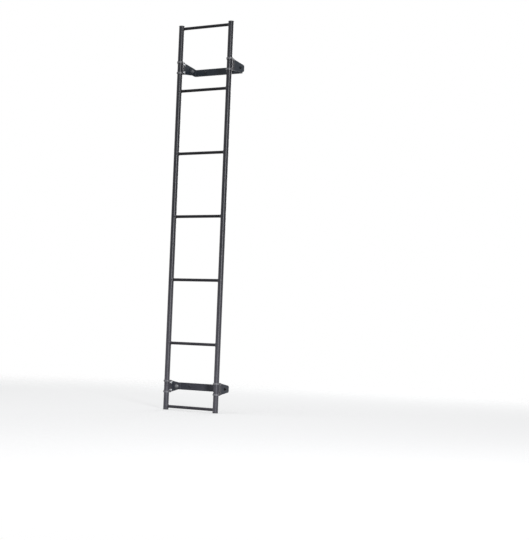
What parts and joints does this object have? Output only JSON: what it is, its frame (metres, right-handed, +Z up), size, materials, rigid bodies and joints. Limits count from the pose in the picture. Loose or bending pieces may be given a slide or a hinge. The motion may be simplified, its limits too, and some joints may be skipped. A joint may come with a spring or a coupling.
{
  "type": "van rear door ladder",
  "caption": "Straight fixed ladder of steel tube with coped, welded bar rungs, strap clamps on both stiles and two folded door brackets that hold it clear of a van door.",
  "frame": {"origin": "middle of the lower door bar's flat back face, where it lies on the door", "axes": "+X to the right when facing the rungs, +Y into the door, +Z up along the stiles"},
  "size_m": [0.3212, 0.138, 1.831],
  "materials": {
    "stile_coat": "satin powder coat",
    "rung_coat": "satin powder coat",
    "clamp_coat": "satin powder coat",
    "arm_coat": "satin powder coat",
    "bar_coat": "satin powder coat",
    "plug_plastic": "moulded black"
  },
  "bodies": {
    "root": {"left_stile": "stile_coat", "right_stile": "stile_coat", "rung_1": "rung_coat", "rung_2": "rung_coat", "rung_3": "rung_coat", "rung_4": "rung_coat", "rung_5": "rung_coat", "rung_6": "rung_coat", "rung_7": "rung_coat", "bottom_left_plug": "plug_plastic", "bottom_right_plug": "plug_plastic", "top_left_plug": "plug_plastic", "top_right_plug": "plug_plastic", "lower_left_clamp": "clamp_coat", "lower_right_clamp": "clamp_coat", "lower_left_arm": "arm_coat", "lower_right_arm": "arm_coat", "upper_left_clamp": "clamp_coat", "upper_right_clamp": "clamp_coat", "upper_left_arm": "arm_coat", "upper_right_arm": "arm_coat", "lower_door_bar": "bar_coat", "upper_door_bar": "bar_coat"}
  },
  "joints": []
}
